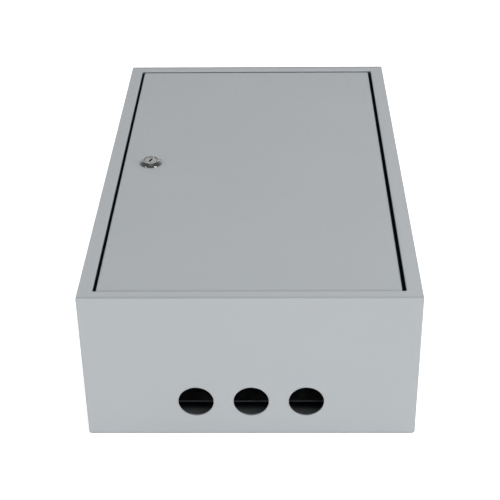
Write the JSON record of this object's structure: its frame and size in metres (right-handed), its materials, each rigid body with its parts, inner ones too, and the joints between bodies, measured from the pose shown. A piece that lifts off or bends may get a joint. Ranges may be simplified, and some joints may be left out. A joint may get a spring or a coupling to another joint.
{
  "type": "meter enclosure",
  "caption": "Wall-mounted sheet-steel meter and distribution enclosure with a hinged flush door, cam lock, bottom cable entries and rails inside.",
  "frame": {"origin": "centre of the back face, which lies on the wall", "axes": "+Z out of the wall through the door, +Y up the wall towards the top end, +X to the right seen from the front"},
  "size_m": [0.3, 0.5, 0.1528],
  "materials": {
    "body_paint": "light grey textured powder coat",
    "door_paint": "light grey textured powder coat",
    "zinc_steel": "bright zinc plated",
    "galvanised": "galvanised sheet, spangled",
    "chrome_lock": "satin nickel on zinc die casting",
    "brass": "drawn bar, dull",
    "blue_plastic": "moulded polyamide",
    "green_plastic": "moulded polyamide",
    "seal_foam": "closed-cell foam"
  },
  "bodies": {
    "enclosure": {"body_shell": "body_paint", "bottom_wall": "body_paint", "top_wall": "body_paint", "front_frame": "body_paint", "mounting_plate": "galvanised", "plate_studs": "zinc_steel", "plate_spacers": "zinc_steel", "plate_washers": "zinc_steel", "plate_nuts": "zinc_steel", "upper_din_rail": "zinc_steel", "lower_din_rail": "zinc_steel", "rail_screws": "zinc_steel", "neutral_bar": "brass", "neutral_bar_supports": "blue_plastic", "neutral_bar_screws": "zinc_steel", "earth_bar": "brass", "earth_bar_supports": "green_plastic", "earth_bar_screws": "zinc_steel", "support_screws": "zinc_steel", "body_earth_stud": "zinc_steel", "body_earth_washer": "zinc_steel", "body_earth_nut": "zinc_steel", "upper_hinge_bracket": "zinc_steel", "lower_hinge_bracket": "zinc_steel", "upper_hinge_pin": "zinc_steel", "lower_hinge_pin": "zinc_steel"},
    "door": {"door_panel": "door_paint", "door_seal": "seal_foam", "upper_hinge_leaf": "zinc_steel", "lower_hinge_leaf": "zinc_steel", "lock_housing": "chrome_lock", "lock_washer": "zinc_steel", "lock_nut": "zinc_steel", "door_earth_stud": "zinc_steel", "door_earth_washer": "zinc_steel", "door_earth_nut": "zinc_steel"},
    "lock_rotor": {"lock_plug": "chrome_lock", "lock_cam": "zinc_steel", "cam_screw": "zinc_steel"}
  },
  "joints": [
    {"name": "door_swing", "type": "hinge", "parent": "enclosure", "child": "door", "pos_m": [0.12605, 0, 0.143], "axis": [0, 1, 0], "range_deg": [0, 105]},
    {"name": "lock_turn", "type": "hinge", "parent": "door", "child": "lock_rotor", "pos_m": [-0.1068, 0.0025, 0.149], "axis": [0, 0, 1], "range_deg": [0, 90]}
  ]
}
